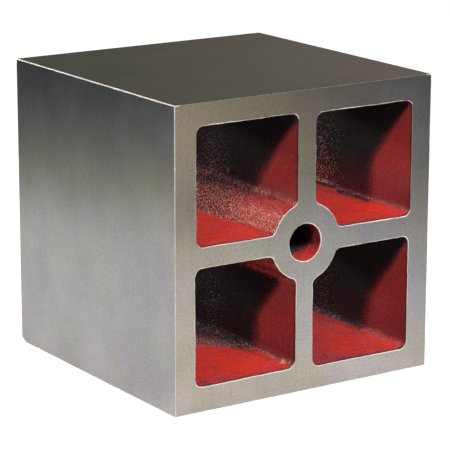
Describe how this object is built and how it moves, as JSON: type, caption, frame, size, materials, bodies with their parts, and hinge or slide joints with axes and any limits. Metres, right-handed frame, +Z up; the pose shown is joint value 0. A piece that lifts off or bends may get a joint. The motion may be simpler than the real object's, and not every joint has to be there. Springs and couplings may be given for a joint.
{
  "type": "box parallel",
  "caption": "Cast-iron set-up cube, ground flat and square on every side, with cored windows from front to rear around a cross web and a central bored boss.",
  "frame": {"origin": "centre of the base", "axes": "+Z up; the front cored face looks along -Y and the rear cored face along +Y, with the bore along Y; -X and +X are the two plain ground sides"},
  "size_m": [0.2032, 0.2032, 0.2032],
  "materials": {
    "cast_iron": "ground outside, with red-painted as-cast windows and bore"
  },
  "bodies": {
    "root": {"box_parallel": "cast_iron"}
  },
  "joints": []
}
